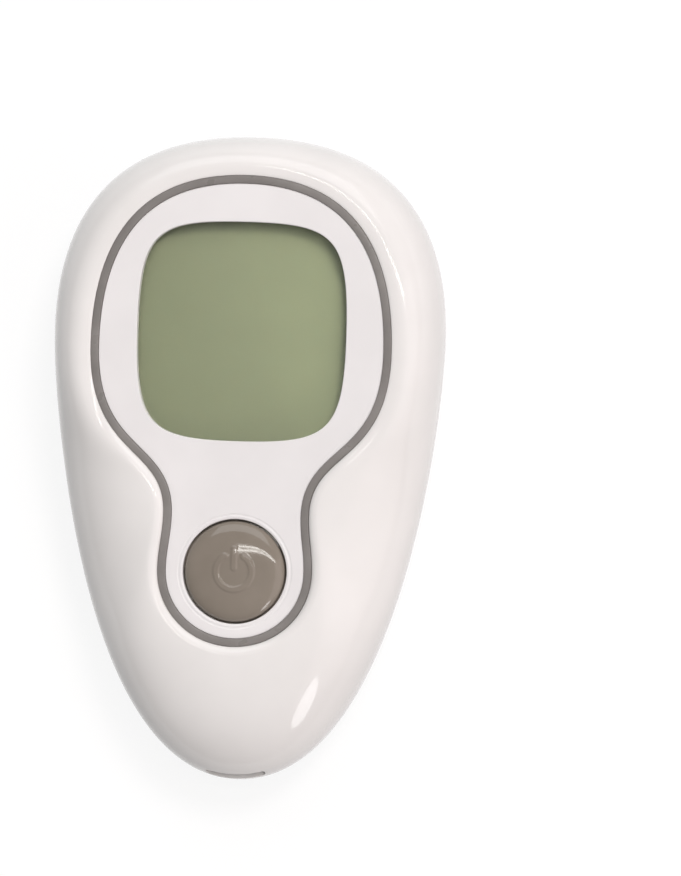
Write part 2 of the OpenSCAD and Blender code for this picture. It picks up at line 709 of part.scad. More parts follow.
// the web over the cell leaves most of the spare height to the negative spring
web_low = cell_top + 0.8 * (board_low - cell_top - web_t);
module coin_cell() {
  color("#b7babd") translate([0, cell_y, 0]) {
    post(0, 0, cell_low, cell_d, cell_t - 0.4);
    post(0, 0, cell_low, cell_d - 2.8, cell_t);
  }
}
module battery_holder() {
  bore_d = cell_d + 2 * clear;
  color("#3d3f42") translate([0, cell_y, 0]) difference() {
    post(0, 0, cell_low - 0.4, bore_d + 2 * cell_wall, board_low - cell_low + 0.4);
    post(0, 0, cell_low - 1, bore_d, web_low - cell_low + 1);
    post(0, 0, web_low + web_t, bore_d, board_low);
    block(cell_d / 2 + 0.3, 0, cell_low - 1, 1.6, spring_w + 0.6, board_low);
    block(-spring_out - contact_t / 2, 0, web_low - 1, 3 * contact_t, spring_w + 0.6, web_t + 2);
  }
}
// side spring: straight from the board down to the cell, bulging in to touch its rim
module positive_contact() {
  x = cell_d / 2;
  touch = (cell_low + cell_top) / 2 - 0.2;
  leaf = [[x + 0.5, board_low], [x + 0.5, touch + 1.2], [x + 0.02, touch],
    [x + 0.3, touch - 1], [x + 0.3 + contact_t, touch - 1], [x + 0.02 + 1.2 * contact_t, touch],
    [x + 0.5 + contact_t, touch + 1.1], [x + 0.5 + contact_t, board_low]];
  color("#d2c08a") translate([0, cell_y + spring_w / 2, 0])
    rotate([90, 0, 0]) linear_extrude(spring_w) polygon(leaf);
}
// leaf under the web: a leg up to the board, and a tip that dips to the cell
module negative_contact() {
  z = web_low - contact_t;
  leaf = [[-spring_out - contact_t, z], [2, z], [5, cell_top + 0.02], [6, cell_top + 0.25],
    [6, cell_top + 0.25 + contact_t], [5, cell_top + 0.02 + 1.2 * contact_t],
    [2, z + contact_t], [-spring_out, z + contact_t], [-spring_out, board_low],
    [-spring_out - contact_t, board_low]];
  color("#d2c08a") translate([0, cell_y + spring_w / 2, 0])
    rotate([90, 0, 0]) linear_extrude(spring_w) polygon(leaf);
}

front_shell();
trim_ring();
face_panel();
display_lens();
display_gasket();
front_polariser();
front_glass();
rear_glass();
rear_reflector();
display_holder();
zebra_strips();
button_cap();
switch_housing();
switch_cover();
switch_plunger();
snap_dome();
main_board();
controller_chip();
amplifier_chip();
memory_chip();
clock_crystal();
ceramic_capacitors();
chip_resistors();
buzzer();
strip_connector();
strip_contacts();
coin_cell();
battery_holder();
positive_contact();
negative_contact();
battery_door();
back_shell();
case_screws();
board_screws();
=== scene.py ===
import math

import bmesh
import bpy
from mathutils import Matrix, Vector


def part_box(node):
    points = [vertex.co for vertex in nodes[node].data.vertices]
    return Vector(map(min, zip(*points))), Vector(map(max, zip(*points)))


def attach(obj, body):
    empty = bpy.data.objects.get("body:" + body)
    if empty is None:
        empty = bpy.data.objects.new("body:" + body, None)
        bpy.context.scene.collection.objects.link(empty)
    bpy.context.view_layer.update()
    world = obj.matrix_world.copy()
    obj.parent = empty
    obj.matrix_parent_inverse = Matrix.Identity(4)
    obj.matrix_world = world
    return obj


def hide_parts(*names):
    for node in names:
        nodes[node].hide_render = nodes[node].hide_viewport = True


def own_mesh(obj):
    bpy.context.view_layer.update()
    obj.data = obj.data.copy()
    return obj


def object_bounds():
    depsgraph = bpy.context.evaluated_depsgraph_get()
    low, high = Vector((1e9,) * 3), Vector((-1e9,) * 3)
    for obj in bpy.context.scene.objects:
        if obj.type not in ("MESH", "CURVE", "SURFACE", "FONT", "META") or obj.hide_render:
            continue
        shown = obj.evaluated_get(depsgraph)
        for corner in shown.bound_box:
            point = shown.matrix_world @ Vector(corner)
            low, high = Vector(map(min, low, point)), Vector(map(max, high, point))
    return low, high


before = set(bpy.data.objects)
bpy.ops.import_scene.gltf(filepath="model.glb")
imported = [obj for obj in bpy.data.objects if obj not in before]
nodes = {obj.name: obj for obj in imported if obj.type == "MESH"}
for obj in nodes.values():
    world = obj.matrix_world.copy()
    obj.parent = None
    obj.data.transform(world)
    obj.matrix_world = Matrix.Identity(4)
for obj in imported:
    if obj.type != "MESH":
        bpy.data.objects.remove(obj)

# Blood glucose meter lying on its back. Sizes in the dictionaries are millimetres.
mm = 0.001
past = 1  # how far a cutter runs on beyond what it cuts
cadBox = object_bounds()
scene = bpy.context.scene
print("frame loaded,", len(nodes), "nodes")


def boxInMm(node):
    low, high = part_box(node)
    return low / mm, high / mm


# outlines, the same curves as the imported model's
curveSizes = {
    "widestY": 16.6,  # widest line of the case
    "caseHandles": (0.76, 0.54, 0.2, 0.8),  # handle lengths as shares of the stretch they round
    "headHandles": (0.655, 0.66),
    "neckHandles": (0.68, 0.405, 0.39, 0.4),
    "endHandle": 0.56,
    "windowHandles": (0.86, 0.9),
    "headDrop": 23.05,  # top of the keyhole down to its widest line
    "neckRise": 7.6,  # middle of the button up to the narrowest line
    "neckWidth": 19.5,
    "capRadius": 6.7,
    "besideHole": 3.37,  # panel and ring beside the button's hole
    "buttonGap": 0.28,
    "lensLap": 0.9,  # lens under the panel's edge
    "eyeShare": 0.83,  # the stations are matched along rays from this share of the end's radius
    "keySteps": (30, 40, 14, 26),  # stations along each stretch of the keyhole
    "windowSteps": 30,
    "halvings": 40,  # of the search for a station on the case's edge
}

shellLow, shellHigh = boxInMm("front_shell")
ringLow, ringHigh = boxInMm("trim_ring")
lensLow, lensHigh = boxInMm("display_lens")
capLow, capHigh = boxInMm("button_cap")
doorLow, doorHigh = boxInMm("battery_door")

caseX, caseY = shellHigh.x, shellHigh.y
keyX, keyTop, keyLow = ringHigh.x, ringHigh.y, ringLow.y
keyWideY = keyTop - curveSizes["headDrop"]
buttonY = (capLow.y + capHigh.y) / 2
neckX = curveSizes["neckWidth"] / 2
neckY = buttonY + curveSizes["neckRise"]
endR = curveSizes["capRadius"] + curveSizes["buttonGap"] + curveSizes["besideHole"]
eye = Vector((0, neckY + curveSizes["eyeShare"] * endR))
windowX = lensHigh.x - curveSizes["lensLap"]
windowTop = lensHigh.y - curveSizes["lensLap"]
windowLow = lensLow.y + curveSizes["lensLap"]
windowY = (windowTop + windowLow) / 2


def downAndOut(top, x, y, first, second):
    return [Vector(p) for p in ((0, top), (first * x, top), (x, y + second * (top - y)), (x, y))]


def downAndIn(x, y, low, first, second):
    return [Vector(p) for p in ((x, y), (x, y - first * (y - low)), (second * x, low), (0, low))]


def pointBeside(curve, t, gap):
    a, b, c, d = curve
    point = a * (1 - t) ** 3 + b * 3 * t * (1 - t) ** 2 + c * 3 * t * t * (1 - t) + d * t ** 3
    way = (b - a) * (1 - t) ** 2 + (c - b) * 2 * t * (1 - t) + (d - c) * t * t
    return point + Vector((-way.y, way.x)).normalized() * gap


caseA, caseB, caseC, caseD = curveSizes["caseHandles"]
caseCurve = [downAndOut(caseY, caseX, curveSizes["widestY"], caseA, caseB),
             downAndIn(caseX, curveSizes["widestY"], -caseY, caseC, caseD)]
neckA, neckB, neckC, neckD = curveSizes["neckHandles"]
keyCurve = [
    downAndOut(keyTop, keyX, keyWideY, *curveSizes["headHandles"]),
    [Vector(p) for p in ((keyX, keyWideY), (keyX, keyWideY - neckA * (keyWideY - neckY)),
                         (neckX, neckY + neckB * (keyWideY - neckY)), (neckX, neckY))],
    [Vector(p) for p in ((neckX, neckY), (neckX, neckY - neckC * (neckY - buttonY)),
                         (endR, buttonY + neckD * (neckY - buttonY)), (endR, buttonY))],
    downAndIn(endR, buttonY, keyLow, curveSizes["endHandle"], curveSizes["endHandle"])]
winA, winB = curveSizes["windowHandles"]
windowCurve = [downAndOut(windowTop, windowX, windowY, winA, winB),
               downAndIn(windowX, windowY, windowLow, winB, winA)]

keyPlaces = [(s, i / n) for s, n in enumerate(curveSizes["keySteps"]) for i in range(n)] + [(3, 1)]
windowPlaces = [(s, i / curveSizes["windowSteps"]) for s in (0, 1)
                for i in range(curveSizes["windowSteps"])] + [(1, 1)]


def bearing(p):
    return math.atan2(p.x, p.y - eye.y)


def casePoint(t, gap):
    return pointBeside(caseCurve[min(int(t), 1)], t - min(int(t), 1), gap)


def casePlace(wanted):
    low, high = 0.0, 2.0
    for _ in range(curveSizes["halvings"]):
        middle = (low + high) / 2
        low, high = (middle, high) if bearing(casePoint(middle, 0)) < wanted else (low, middle)
    return (low + high) / 2


casePlaces = [casePlace(bearing(pointBeside(keyCurve[s], t, 0))) for s, t in keyPlaces]
casePlaces[0], casePlaces[-1] = 0.0, 2.0


def keySide(gap):
    return [pointBeside(keyCurve[s], t, gap) for s, t in keyPlaces]


def caseSide(gap):
    return [casePoint(t, gap) for t in casePlaces]


def windowSide(gap):
    return [pointBeside(windowCurve[s], t, gap) for s, t in windowPlaces]


# a closed loop from its right half, at one height or at a height for each station
def wholeLoop(side, heights):
    if not isinstance(heights, list):
        heights = [heights] * len(side)
    right = [Vector((p.x, p.y, z)) for p, z in zip(side, heights)]
    return right + [Vector((-p.x, p.y, p.z)) for p in right[-2:0:-1]]


onePoint = 1e-4  # points closer than this are one


# a rectangle with round corners, or a circle when radius is half of both sides
def roundedLoop(centre, width, length, radius, z, steps=10):
    points = []
    for corner, (sx, sy) in enumerate(((1, 1), (-1, 1), (-1, -1), (1, -1))):
        for i in range(steps + 1):
            turn = math.radians(90 * (corner + i / steps))
            points.append(Vector((centre[0] + sx * (width / 2 - radius) + radius * math.cos(turn),
                                  centre[1] + sy * (length / 2 - radius) + radius * math.sin(turn), z)))
    return [p for i, p in enumerate(points) if (p - points[i - 1]).length > onePoint]


# a slot with round ends, widened by gap on every side
def slotLoop(centre, width, length, gap, z, steps=6):
    endFlat = 0.01  # left between the two quarter rounds of an end
    radius = min(width, length) / 2 - endFlat + gap
    return roundedLoop(centre, width + 2 * gap, length + 2 * gap, radius, z, steps)


# grows a skin from loop to loop; its ends are capped, or joined to each other when closed
def loft(bm, loops, closed=False):
    ring = bmesh.ops.create_circle(bm, segments=len(loops[0]), radius=1)["verts"]
    firstEdges = list({e for v in ring for e in v.link_edges})
    edges = firstEdges
    for v, p in zip(ring, loops[0]):
        v.co = p * mm
    for loop in loops[1:]:
        grown = bmesh.ops.extrude_edge_only(bm, edges=edges)["geom"]
        for v, p in zip([g for g in grown if isinstance(g, bmesh.types.BMVert)], loop):
            v.co = p * mm
        edges = [g for g in grown if isinstance(g, bmesh.types.BMEdge)]
    if closed:
        bmesh.ops.bridge_loops(bm, edges=firstEdges + edges)
    else:
        bmesh.ops.contextual_create(bm, geom=firstEdges)
        bmesh.ops.contextual_create(bm, geom=edges)


sharpFrom = 32  # degrees between two faces from which their edge stays sharp


def shadeByAngle(bm, degrees=sharpFrom):
    for f in bm.faces:
        f.smooth = True
    for e in bm.edges:
        e.smooth = len(e.link_faces) == 2 and e.calc_face_angle(0) < math.radians(degrees)


def makePiece(name, bm, degrees=sharpFrom):
    bmesh.ops.recalc_face_normals(bm, faces=bm.faces)
    shadeByAngle(bm, degrees)
    mesh = bpy.data.meshes.new(name)
    bm.to_mesh(mesh)
    bm.free()
    piece = bpy.data.objects.new(name, mesh)
    scene.collection.objects.link(piece)
    return piece


# joins or cuts with a second mesh, which is then thrown away
def carve(piece, tool, operation):
    change = piece.modifiers.new(operation.lower(), "BOOLEAN")
    change.object, change.operation, change.solver = tool, operation, "EXACT"
    bpy.context.view_layer.update()
    made = bpy.data.meshes.new_from_object(piece.evaluated_get(bpy.context.evaluated_depsgraph_get()))
    piece.modifiers.clear()
    piece.data, old = made, piece.data
    bpy.data.meshes.remove(old)
    bpy.data.meshes.remove(tool.data)
    made.name = piece.name


shadingLook = {"shortest": 0.0005, "flatsPull": 60}


# smooth curved skins beside true flats: sharp edges by angle, then normals weighted by area
def tidyShading(piece):
    bm = bmesh.new()
    bm.from_mesh(piece.data)
    bmesh.ops.dissolve_degenerate(bm, dist=shadingLook["shortest"] * mm, edges=bm.edges)
    shadeByAngle(bm)
    bm.to_mesh(piece.data)
    bm.free()
    weighted = piece.modifiers.new("flats", "WEIGHTED_NORMAL")
    weighted.keep_sharp, weighted.weight = True, shadingLook["flatsPull"]


# angles over a quarter turn, ends included
def quarter(count):
    return [math.pi / 2 * i / count for i in range(count + 1)]


# a cutter whose mouth opens by a round of reach at its upper or lower end
def flare(bm, outline, low, high, reach, top=True, steps=5):
    rows = []
    for turn in quarter(steps)[:-1]:
        rows.append((reach * (1 - math.cos(turn)), reach * (1 - math.sin(turn))))
    rows.append((reach, -past))  # straight out through the skin
    heights = [(g, high - drop) if top else (g, low + drop) for g, drop in rows]
    start = (0, low) if top else (0, high)
    loft(bm, [outline(g, z) for g, z in [start] + heights])


def colour(hexValue):
    parts = [int(hexValue[i:i + 2], 16) / 255 for i in (1, 3, 5)]
    return [c / 12.92 if c <= 0.04045 else ((c + 0.055) / 1.055) ** 2.4 for c in parts] + [1]


def addNode(tree, kind, values=None, links=None, stops=None, **settings):
    node = tree.nodes.new(kind)
    for name, value in settings.items():
        setattr(node, name, value)
    for socket, value in (values or {}).items():
        node.inputs[socket].default_value = value
    for socket, source in (links or {}).items():
        tree.links.new(source, node.inputs[socket])
    for i, (place, tint) in enumerate(stops or []):
        point = node.color_ramp.elements[i] if i < 2 else node.color_ramp.elements.new(place)
        point.position = place
        point.color = tint if isinstance(tint, list) else [tint] * 3 + [1]
    return node


def newMaterial(name):
    material = bpy.data.materials.new(name)
    material.use_nodes = True
    tree = material.node_tree
    tree.nodes.clear()
    place = addNode(tree, "ShaderNodeTexCoord").outputs["Object"]
    return material, tree, place


def finishMaterial(tree, shader):
    addNode(tree, "ShaderNodeOutputMaterial", links={"Surface": shader.outputs[0]})


# cloudy resin, gloss that wanders a little and the ripple of the mould
def mouldedPlastic(name, look):
    material, tree, place = newMaterial(name)
    cloud = addNode(tree, "ShaderNodeTexNoise", {"Scale": 1 / (look["cloud"] * mm), "Detail": 3},
                    {"Vector": place})
    tint = addNode(tree, "ShaderNodeValToRGB", links={"Fac": cloud.outputs["Fac"]},
                   stops=[(0.35, colour(look["dark"])), (0.65, colour(look["light"]))])
    wander = addNode(tree, "ShaderNodeTexNoise", {"Scale": 1 / (look["wander"] * mm), "Detail": 4},
                     {"Vector": place})
    gloss = addNode(tree, "ShaderNodeValToRGB", links={"Fac": wander.outputs["Fac"]},
                    stops=[(0.3, look["smooth"]), (0.7, look["dull"])])
    grain = addNode(tree, "ShaderNodeTexNoise", {"Scale": 1 / (look["grain"] * mm), "Detail": 2},
                    {"Vector": place})
    bump = addNode(tree, "ShaderNodeBump", {"Strength": look["relief"], "Distance": look["depth"] * mm},
                   {"Height": grain.outputs["Fac"]})
    shader = addNode(tree, "ShaderNodeBsdfPrincipled",
                     {"IOR": look["ior"], "Specular IOR Level": look.get("shine", 0.5)},
                     {"Base Color": tint.outputs["Color"], "Roughness": gloss.outputs["Color"],
                      "Normal": bump.outputs["Normal"]})
    finishMaterial(tree, shader)
    return material


# drawn lines along one axis and a soft cloud of tarnish
def platedMetal(name, look):
    material, tree, place = newMaterial(name)
    stretched = addNode(tree, "ShaderNodeMapping", {"Scale": look["lines"]}, {"Vector": place})
    drawn = addNode(tree, "ShaderNodeTexNoise", {"Scale": 1 / (look["pitch"] * mm), "Detail": 3},
                    {"Vector": stretched.outputs["Vector"]})
    cloud = addNode(tree, "ShaderNodeTexNoise", {"Scale": 1 / (look["cloud"] * mm), "Detail": 3},
                    {"Vector": place})
    tint = addNode(tree, "ShaderNodeValToRGB", links={"Fac": cloud.outputs["Fac"]},
                   stops=[(0.3, colour(look["dark"])), (0.7, colour(look["light"]))])
    gloss = addNode(tree, "ShaderNodeValToRGB", links={"Fac": drawn.outputs["Fac"]},
                    stops=[(0.3, look["smooth"]), (0.7, look["dull"])])
    bump = addNode(tree, "ShaderNodeBump", {"Strength": 0.15, "Distance": 0.01 * mm},
                   {"Height": drawn.outputs["Fac"]})
    shader = addNode(tree, "ShaderNodeBsdfPrincipled", {"Metallic": 1.0},
                     {"Base Color": tint.outputs["Color"], "Roughness": gloss.outputs["Color"],
                      "Normal": bump.outputs["Normal"]})
    finishMaterial(tree, shader)
    return material


plasticLooks = {
    # high-gloss white ABS from a polished mould: clean highlights over a milky body
    "glossWhiteAbs": {"dark": "#edebe9", "light": "#f2f0ee", "cloud": 14, "smooth": 0.06, "dull": 0.1,
                      "wander": 9, "grain": 1.6, "relief": 0.05, "depth": 0.02, "ior": 1.54, "shine": 0.35},
    # the face plate, same resin with a hint less gloss
    "satinWhiteAbs": {"dark": "#ebe9e9", "light": "#f0eeee", "cloud": 11, "smooth": 0.2, "dull": 0.27,
                      "wander": 6, "grain": 0.9, "relief": 0.06, "depth": 0.02, "ior": 1.54, "shine": 0.4},
    # warm grey ABS of the inlaid bead, moulded with a fine even skin
    "greyAbsBead": {"dark": "#7d7976", "light": "#898582", "cloud": 5, "smooth": 0.26, "dull": 0.36,
                    "wander": 3, "grain": 0.35, "relief": 0.1, "depth": 0.02, "ior": 1.54},
    # taupe ABS of the button, polished, so that lamps show as crisp lines
    "taupeGlossAbs": {"dark": "#898075", "light": "#90877c", "cloud": 7, "smooth": 0.05, "dull": 0.08,
                      "wander": 5, "grain": 1.4, "relief": 0.03, "depth": 0.01, "ior": 1.54},
    # black glass-filled nylon: dull, with short fibres in the skin
    "blackNylon": {"dark": "#303235", "light": "#3f4145", "cloud": 2, "smooth": 0.45, "dull": 0.62,
                   "wander": 1, "grain": 0.2, "relief": 0.3, "depth": 0.02, "ior": 1.53},
    # black epoxy of chip bodies, matt from the mould's spark-eroded skin
    "mouldedEpoxy": {"dark": "#202124", "light": "#2c2d31", "cloud": 1, "smooth": 0.5, "dull": 0.68,
                     "wander": 0.6, "grain": 0.12, "relief": 0.35, "depth": 0.015, "ior": 1.55},
    # natural polystyrene of the display holder
    "milkyPolystyrene": {"dark": "#d3d3ce", "light": "#dededa", "cloud": 4, "smooth": 0.35, "dull": 0.5,
                         "wander": 3, "grain": 0.5, "relief": 0.1, "depth": 0.02, "ior": 1.59},
    # ivory PBT of the strip connector
    "ivoryPbt": {"dark": "#e2decf", "light": "#ece8db", "cloud": 2, "smooth": 0.4, "dull": 0.52,
                 "wander": 1.5, "grain": 0.3, "relief": 0.15, "depth": 0.02, "ior": 1.57},
    # barium titanate bodies of the capacitors, tan and faintly mottled
    "firedCeramic": {"dark": "#a78b64", "light": "#c0a47b", "cloud": 0.4, "smooth": 0.4, "dull": 0.55,
                     "wander": 0.3, "grain": 0.1, "relief": 0.2, "depth": 0.01, "ior": 1.6},
    # black glaze on the resistors
    "glazedAlumina": {"dark": "#17171a", "light": "#242428", "cloud": 0.5, "smooth": 0.25, "dull": 0.4,
                      "wander": 0.3, "grain": 0.12, "relief": 0.15, "depth": 0.01, "ior": 1.6},
    # closed-cell foam of the gasket: dark, dry and pitted
    "blackFoam": {"dark": "#2d2e30", "light": "#434548", "cloud": 0.25, "smooth": 0.85, "dull": 0.98,
                  "wander": 0.3, "grain": 0.12, "relief": 0.8, "depth": 0.05, "ior": 1.45},
}
metalLooks = {
    # nickel-plated steel can of the cell, brushed across
    "nickelSteel": {"dark": "#b1b4b6", "light": "#c9cccd", "cloud": 3, "pitch": 0.25, "lines": (1, 14, 1),
                    "smooth": 0.22, "dull": 0.36},
    # tinned and springy bronze of the battery contacts
    "tinnedBronze": {"dark": "#c3b07c", "light": "#d9c896", "cloud": 2, "pitch": 0.2, "lines": (1, 10, 1),
                     "smooth": 0.25, "dull": 0.4},
    # gold flash over the strip contacts
    "goldPlate": {"dark": "#c2973c", "light": "#dcb75c", "cloud": 1, "pitch": 0.15, "lines": (8, 1, 1),
                  "smooth": 0.18, "dull": 0.3},
    # bright zinc on the screws
    "zincSteel": {"dark": "#84878b", "light": "#a3a6aa", "cloud": 0.8, "pitch": 0.15, "lines": (1, 1, 6),
                  "smooth": 0.28, "dull": 0.45},
    # rolled stainless steel of the switch's cover and snap dome
    "rolledStainless": {"dark": "#bfc1c3", "light": "#d5d7d8", "cloud": 1.5, "pitch": 0.12,
                        "lines": (12, 1, 1), "smooth": 0.2, "dull": 0.34},
}
finishes = {name: mouldedPlastic(name, look) for name, look in plasticLooks.items()}
finishes.update({name: platedMetal(name, look) for name, look in metalLooks.items()})


# cast acrylic of the lens: clear and hard, and lamps reach the display through it
def clearAcrylic():
    material, tree, place = newMaterial("clearAcrylic")
    wander = addNode(tree, "ShaderNodeTexNoise", {"Scale": 1 / (6 * mm)}, {"Vector": place})
    gloss = addNode(tree, "ShaderNodeValToRGB", links={"Fac": wander.outputs["Fac"]},
                    stops=[(0.3, 0.02), (0.7, 0.05)])
    glass = addNode(tree, "ShaderNodeBsdfPrincipled",
                    {"Base Color": colour("#f7faf6"), "IOR": 1.49, "Transmission Weight": 1.0},
                    {"Roughness": gloss.outputs["Color"]})
    open_ = addNode(tree, "ShaderNodeBsdfTransparent", {"Color": colour("#f4f7f2")})
    path = addNode(tree, "ShaderNodeLightPath")
    mix = addNode(tree, "ShaderNodeMixShader",
                  links={0: path.outputs["Is Shadow Ray"], 1: glass.outputs[0], 2: open_.outputs[0]})
    finishMaterial(tree, mix)
    return material


displayLook = {
    # colours across the display: painted shade on the left, painted light on the right
    "left": "#74775f", "middle": "#7d8068", "right": "#8c9074",
    "slant": -16,  # degrees; the painted light end lies to the right and a little up, the painted shade end to the left
    "gridPitch": 0.35,  # the electrodes' faint grid, coarser than real so that it shows at all
}


# front of an unlit reflective display: olive polariser film, matt against glare, with painted shade on its
# left and painted light on its right, where lamps from the upper right would fall
def twistedNematicFilm():
    material, tree, place = newMaterial("twistedNematicFilm")
    low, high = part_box("front_polariser")
    middle = (low + high) / 2
    centred = addNode(tree, "ShaderNodeMapping", {"Location": (-middle.x, -middle.y, 0)}, {"Vector": place})
    turned = addNode(tree, "ShaderNodeMapping", {"Rotation": (0, 0, math.radians(displayLook["slant"])),
                                                 "Scale": (1 / (high.x - low.x),) * 3},
                     {"Vector": centred.outputs["Vector"]})
    across = addNode(tree, "ShaderNodeSeparateXYZ", links={"Vector": turned.outputs["Vector"]})
    share = addNode(tree, "ShaderNodeMath", {1: 0.5}, {0: across.outputs["X"]}, operation="ADD")
    cloud = addNode(tree, "ShaderNodeTexNoise", {"Scale": 1 / (9 * mm), "Detail": 3}, {"Vector": place})
    mixed = addNode(tree, "ShaderNodeMix", {"Factor": 0.25},
                    {"A": share.outputs[0], "B": cloud.outputs["Fac"]})
    # from painted shade on the left to painted light on the right, with a random cloud mixed in
    tint = addNode(tree, "ShaderNodeValToRGB", links={"Fac": mixed.outputs[0]},
                   stops=[(0.1, colour(displayLook["left"])), (0.5, colour(displayLook["middle"])),
                          (0.9, colour(displayLook["right"]))])
    grid = addNode(tree, "ShaderNodeTexNoise", {"Scale": 1 / (displayLook["gridPitch"] * mm), "Detail": 1},
                   {"Vector": place})
    bump = addNode(tree, "ShaderNodeBump", {"Strength": 0.02, "Distance": 0.01 * mm},
                   {"Height": grid.outputs["Fac"]})
    shader = addNode(tree, "ShaderNodeBsdfPrincipled", {"Roughness": 0.42, "IOR": 1.5},
                     {"Base Color": tint.outputs["Color"], "Normal": bump.outputs["Normal"]})
    finishMaterial(tree, shader)
    return material


# the display's plates: thin soda-lime glass with a green cast at the edge
def floatGlass():
    material, tree, place = newMaterial("floatGlass")
    cloud = addNode(tree, "ShaderNodeTexNoise", {"Scale": 1 / (5 * mm)}, {"Vector": place})
    tint = addNode(tree, "ShaderNodeValToRGB", links={"Fac": cloud.outputs["Fac"]},
                   stops=[(0.3, colour("#cfdccb")), (0.7, colour("#dbe6d6"))])
    shader = addNode(tree, "ShaderNodeBsdfPrincipled",
                     {"Roughness": 0.04, "IOR": 1.52, "Transmission Weight": 0.9},
                     {"Base Color": tint.outputs["Color"]})
    finishMaterial(tree, shader)
    return material


# rear reflector: metallised film with a fine crinkle that scatters light back
def aluminisedFilm():
    material, tree, place = newMaterial("aluminisedFilm")
    crinkle = addNode(tree, "ShaderNodeTexVoronoi", {"Scale": 1 / (0.3 * mm)}, {"Vector": place})
    tint = addNode(tree, "ShaderNodeValToRGB", links={"Fac": crinkle.outputs["Distance"]},
                   stops=[(0.0, colour("#a9aea2")), (1.0, colour("#c2c6ba"))])
    bump = addNode(tree, "ShaderNodeBump", {"Strength": 0.4, "Distance": 0.02 * mm},
                   {"Height": crinkle.outputs["Distance"]})
    shader = addNode(tree, "ShaderNodeBsdfPrincipled", {"Metallic": 0.8, "Roughness": 0.45},
                     {"Base Color": tint.outputs["Color"], "Normal": bump.outputs["Normal"]})
    finishMaterial(tree, shader)
    return material


# zebra strip: silicone rubber in alternate clear and carbon-black layers
def layeredSilicone():
    material, tree, place = newMaterial("layeredSilicone")
    # real layers are 0.05 mm apart, drawn at 0.25 mm so that they show
    layers = addNode(tree, "ShaderNodeTexWave", {"Scale": 0.314 / (0.25 * mm) / 2, "Distortion": 0.2},
                     {"Vector": place}, bands_direction="X")
    tint = addNode(tree, "ShaderNodeValToRGB", links={"Fac": layers.outputs["Fac"]},
                   stops=[(0.45, colour("#2a2c30")), (0.55, colour("#8a939c"))])
    shader = addNode(tree, "ShaderNodeBsdfPrincipled", {"Roughness": 0.55, "IOR": 1.41},
                     {"Base Color": tint.outputs["Color"]})
    finishMaterial(tree, shader)
    return material


# glass-epoxy board under green solder mask, copper tracks showing as paler lines
def solderMask():
    material, tree, place = newMaterial("solderMask")
    tracks = addNode(tree, "ShaderNodeTexBrick", {
        "Scale": 1 / (1 * mm), "Mortar Size": 0.02, "Mortar Smooth": 0.3, "Brick Width": 2.4,
        "Row Height": 0.8, "Color1": colour("#245c3a"), "Color2": colour("#2a6441"),
        "Mortar": colour("#4a8a58")}, {"Vector": place})
    mesh = addNode(tree, "ShaderNodeTexNoise", {"Scale": 1 / (0.4 * mm)}, {"Vector": place})
    bump = addNode(tree, "ShaderNodeBump", {"Strength": 0.2, "Distance": 0.02 * mm},
                   {"Height": mesh.outputs["Fac"]})
    shader = addNode(tree, "ShaderNodeBsdfPrincipled", {"Roughness": 0.35, "IOR": 1.5},
                     {"Base Color": tracks.outputs["Color"], "Normal": bump.outputs["Normal"]})
    finishMaterial(tree, shader)
    return material


finishes["clearAcrylic"] = clearAcrylic()
finishes["twistedNematicFilm"] = twistedNematicFilm()
finishes["floatGlass"] = floatGlass()
finishes["aluminisedFilm"] = aluminisedFilm()
finishes["layeredSilicone"] = layeredSilicone()
finishes["solderMask"] = solderMask()
print("materials made,", len(finishes))


def dress(piece, finish):
    piece.data.materials.clear()
    piece.data.materials.append(finishes[finish])


# gives a made piece its finish, the body it rides on and the nodes it stands for
def seat(piece, finish, body, slot, *replaced):
    dress(piece, finish)
    if replaced:
        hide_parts(*replaced)
    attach(piece, body)
    print(piece.name, len(piece.data.polygons), "faces")


# front half of the case
frontLook = {
    "wall": 1.8, "tongue": 1.0, "tongueGap": 0.06,
    "crest": shellHigh.z,  # highest line of the case, on its lip beside the neck
    "power": 2.2,  # of the superellipse from the case's edge to the lip
    "cutAt": 80,  # angle of that curve at which it meets the lip where the case is widest
    "swellFrom": 6.5, "swellFull": 11.5,  # widths beside the keyhole between which the lip rises
    "lipLow": 18.3,  # lip where the case is narrow
    "lipOut": 1.26, "lipIn": 0.03, "lipFoot": 18.12,  # the lip rolls down to the bead
    "ledgeInner": 2.05, "ledgeThickness": 1.2, "innerGap": 0.9,
    "parting": 0.14,  # round on both halves that leaves a fine line where they meet
    "partingBend": 0.3,  # share of that round at its middle row
    "lipSteps": 10,
    "outerParts": [0.03, 0.08, 0.14] + [0.2 + 0.05 * i for i in range(15)] + [0.94, 0.97, 1],
    "innerParts": (1, 0.85, 0.68, 0.45, 0.22, 0),
}
jointZ = shellLow.z + frontLook["tongue"]
ledgeZ = ringLow.z
boardTop = boxInMm("controller_chip")[0].z


# how far in from the edge a part of the curve that ends at the angle top has come, 0 to 1
def inward(part, top):
    power = 2 / frontLook["power"]
    turn, top = math.radians(part * top), math.radians(top)
    return (1 - math.cos(turn) ** power) / (1 - max(math.cos(top), 0) ** power)


def upward(part, top):
    return (math.sin(math.radians(part * top)) / math.sin(math.radians(top))) ** (2 / frontLook["power"])


# share of the lip's rise at a station, by the width of the case beside the keyhole
def swellShare(p, q):
    x = ((p - q).length - frontLook["swellFrom"]) / (frontLook["swellFull"] - frontLook["swellFrom"])
    x = min(max(x, 0), 1)
    return x * x * (3 - 2 * x)


def domeLoop(start, end, tops, cuts, part):
    places = [p.lerp(q, inward(part, cut)) for p, q, cut in zip(start, end, cuts)]
    return wholeLoop(places, [jointZ + (top - jointZ) * upward(part, cut) for top, cut in zip(tops, cuts)])


